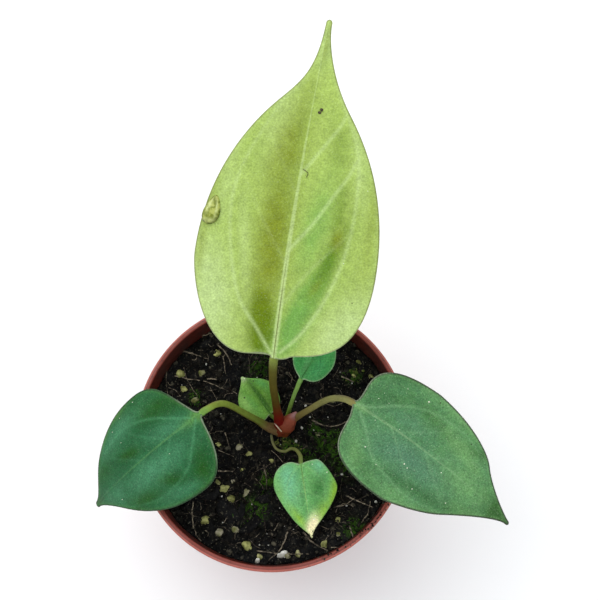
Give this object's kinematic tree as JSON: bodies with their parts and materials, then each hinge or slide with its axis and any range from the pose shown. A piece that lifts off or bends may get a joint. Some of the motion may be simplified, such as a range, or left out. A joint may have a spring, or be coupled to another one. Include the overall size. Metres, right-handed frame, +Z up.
{
  "type": "potted anthurium portillae",
  "caption": "Young aroid house plant with heart-shaped leaves on slim stalks, standing in a round tapered nursery pot filled with soil.",
  "frame": {"origin": "middle of the pot's base, on the surface that it stands on", "axes": "+Z up along the pot's axis, +Y to the back where the tallest leaf leans, +X to the right in the front view"},
  "size_m": [0.1342, 0.1498, 0.1576],
  "materials": {
    "pot": "thin moulded terracotta-coloured nursery pot plastic, satin, dusty",
    "soil": "damp dark peat with fibres and pale granules",
    "stem": "smooth reddish brown young stem",
    "cataphyll": "smooth pink-red scale leaf",
    "tall_petiole": "smooth olive brown leaf stalk, red at the foot",
    "tall_blade": "young pale yellow-green leaf with a satin velvety sheen",
    "right_blade": "velvety mid green leaf",
    "left_blade": "velvety dark green leaf",
    "small_blade": "satin bright green leaf",
    "petiole": "smooth yellow-green leaf stalk"
  },
  "bodies": {
    "root": {"pot": "pot", "soil": "soil", "stem": "stem", "cataphyll": "cataphyll", "tall_petiole": "tall_petiole", "tall_blade": "tall_blade", "right_petiole": "petiole", "right_blade": "right_blade", "left_petiole": "petiole", "left_blade": "left_blade", "front_petiole": "petiole", "front_blade": "small_blade", "back_left_petiole": "petiole", "back_left_blade": "small_blade", "back_right_petiole": "petiole", "back_right_blade": "small_blade"}
  },
  "joints": []
}
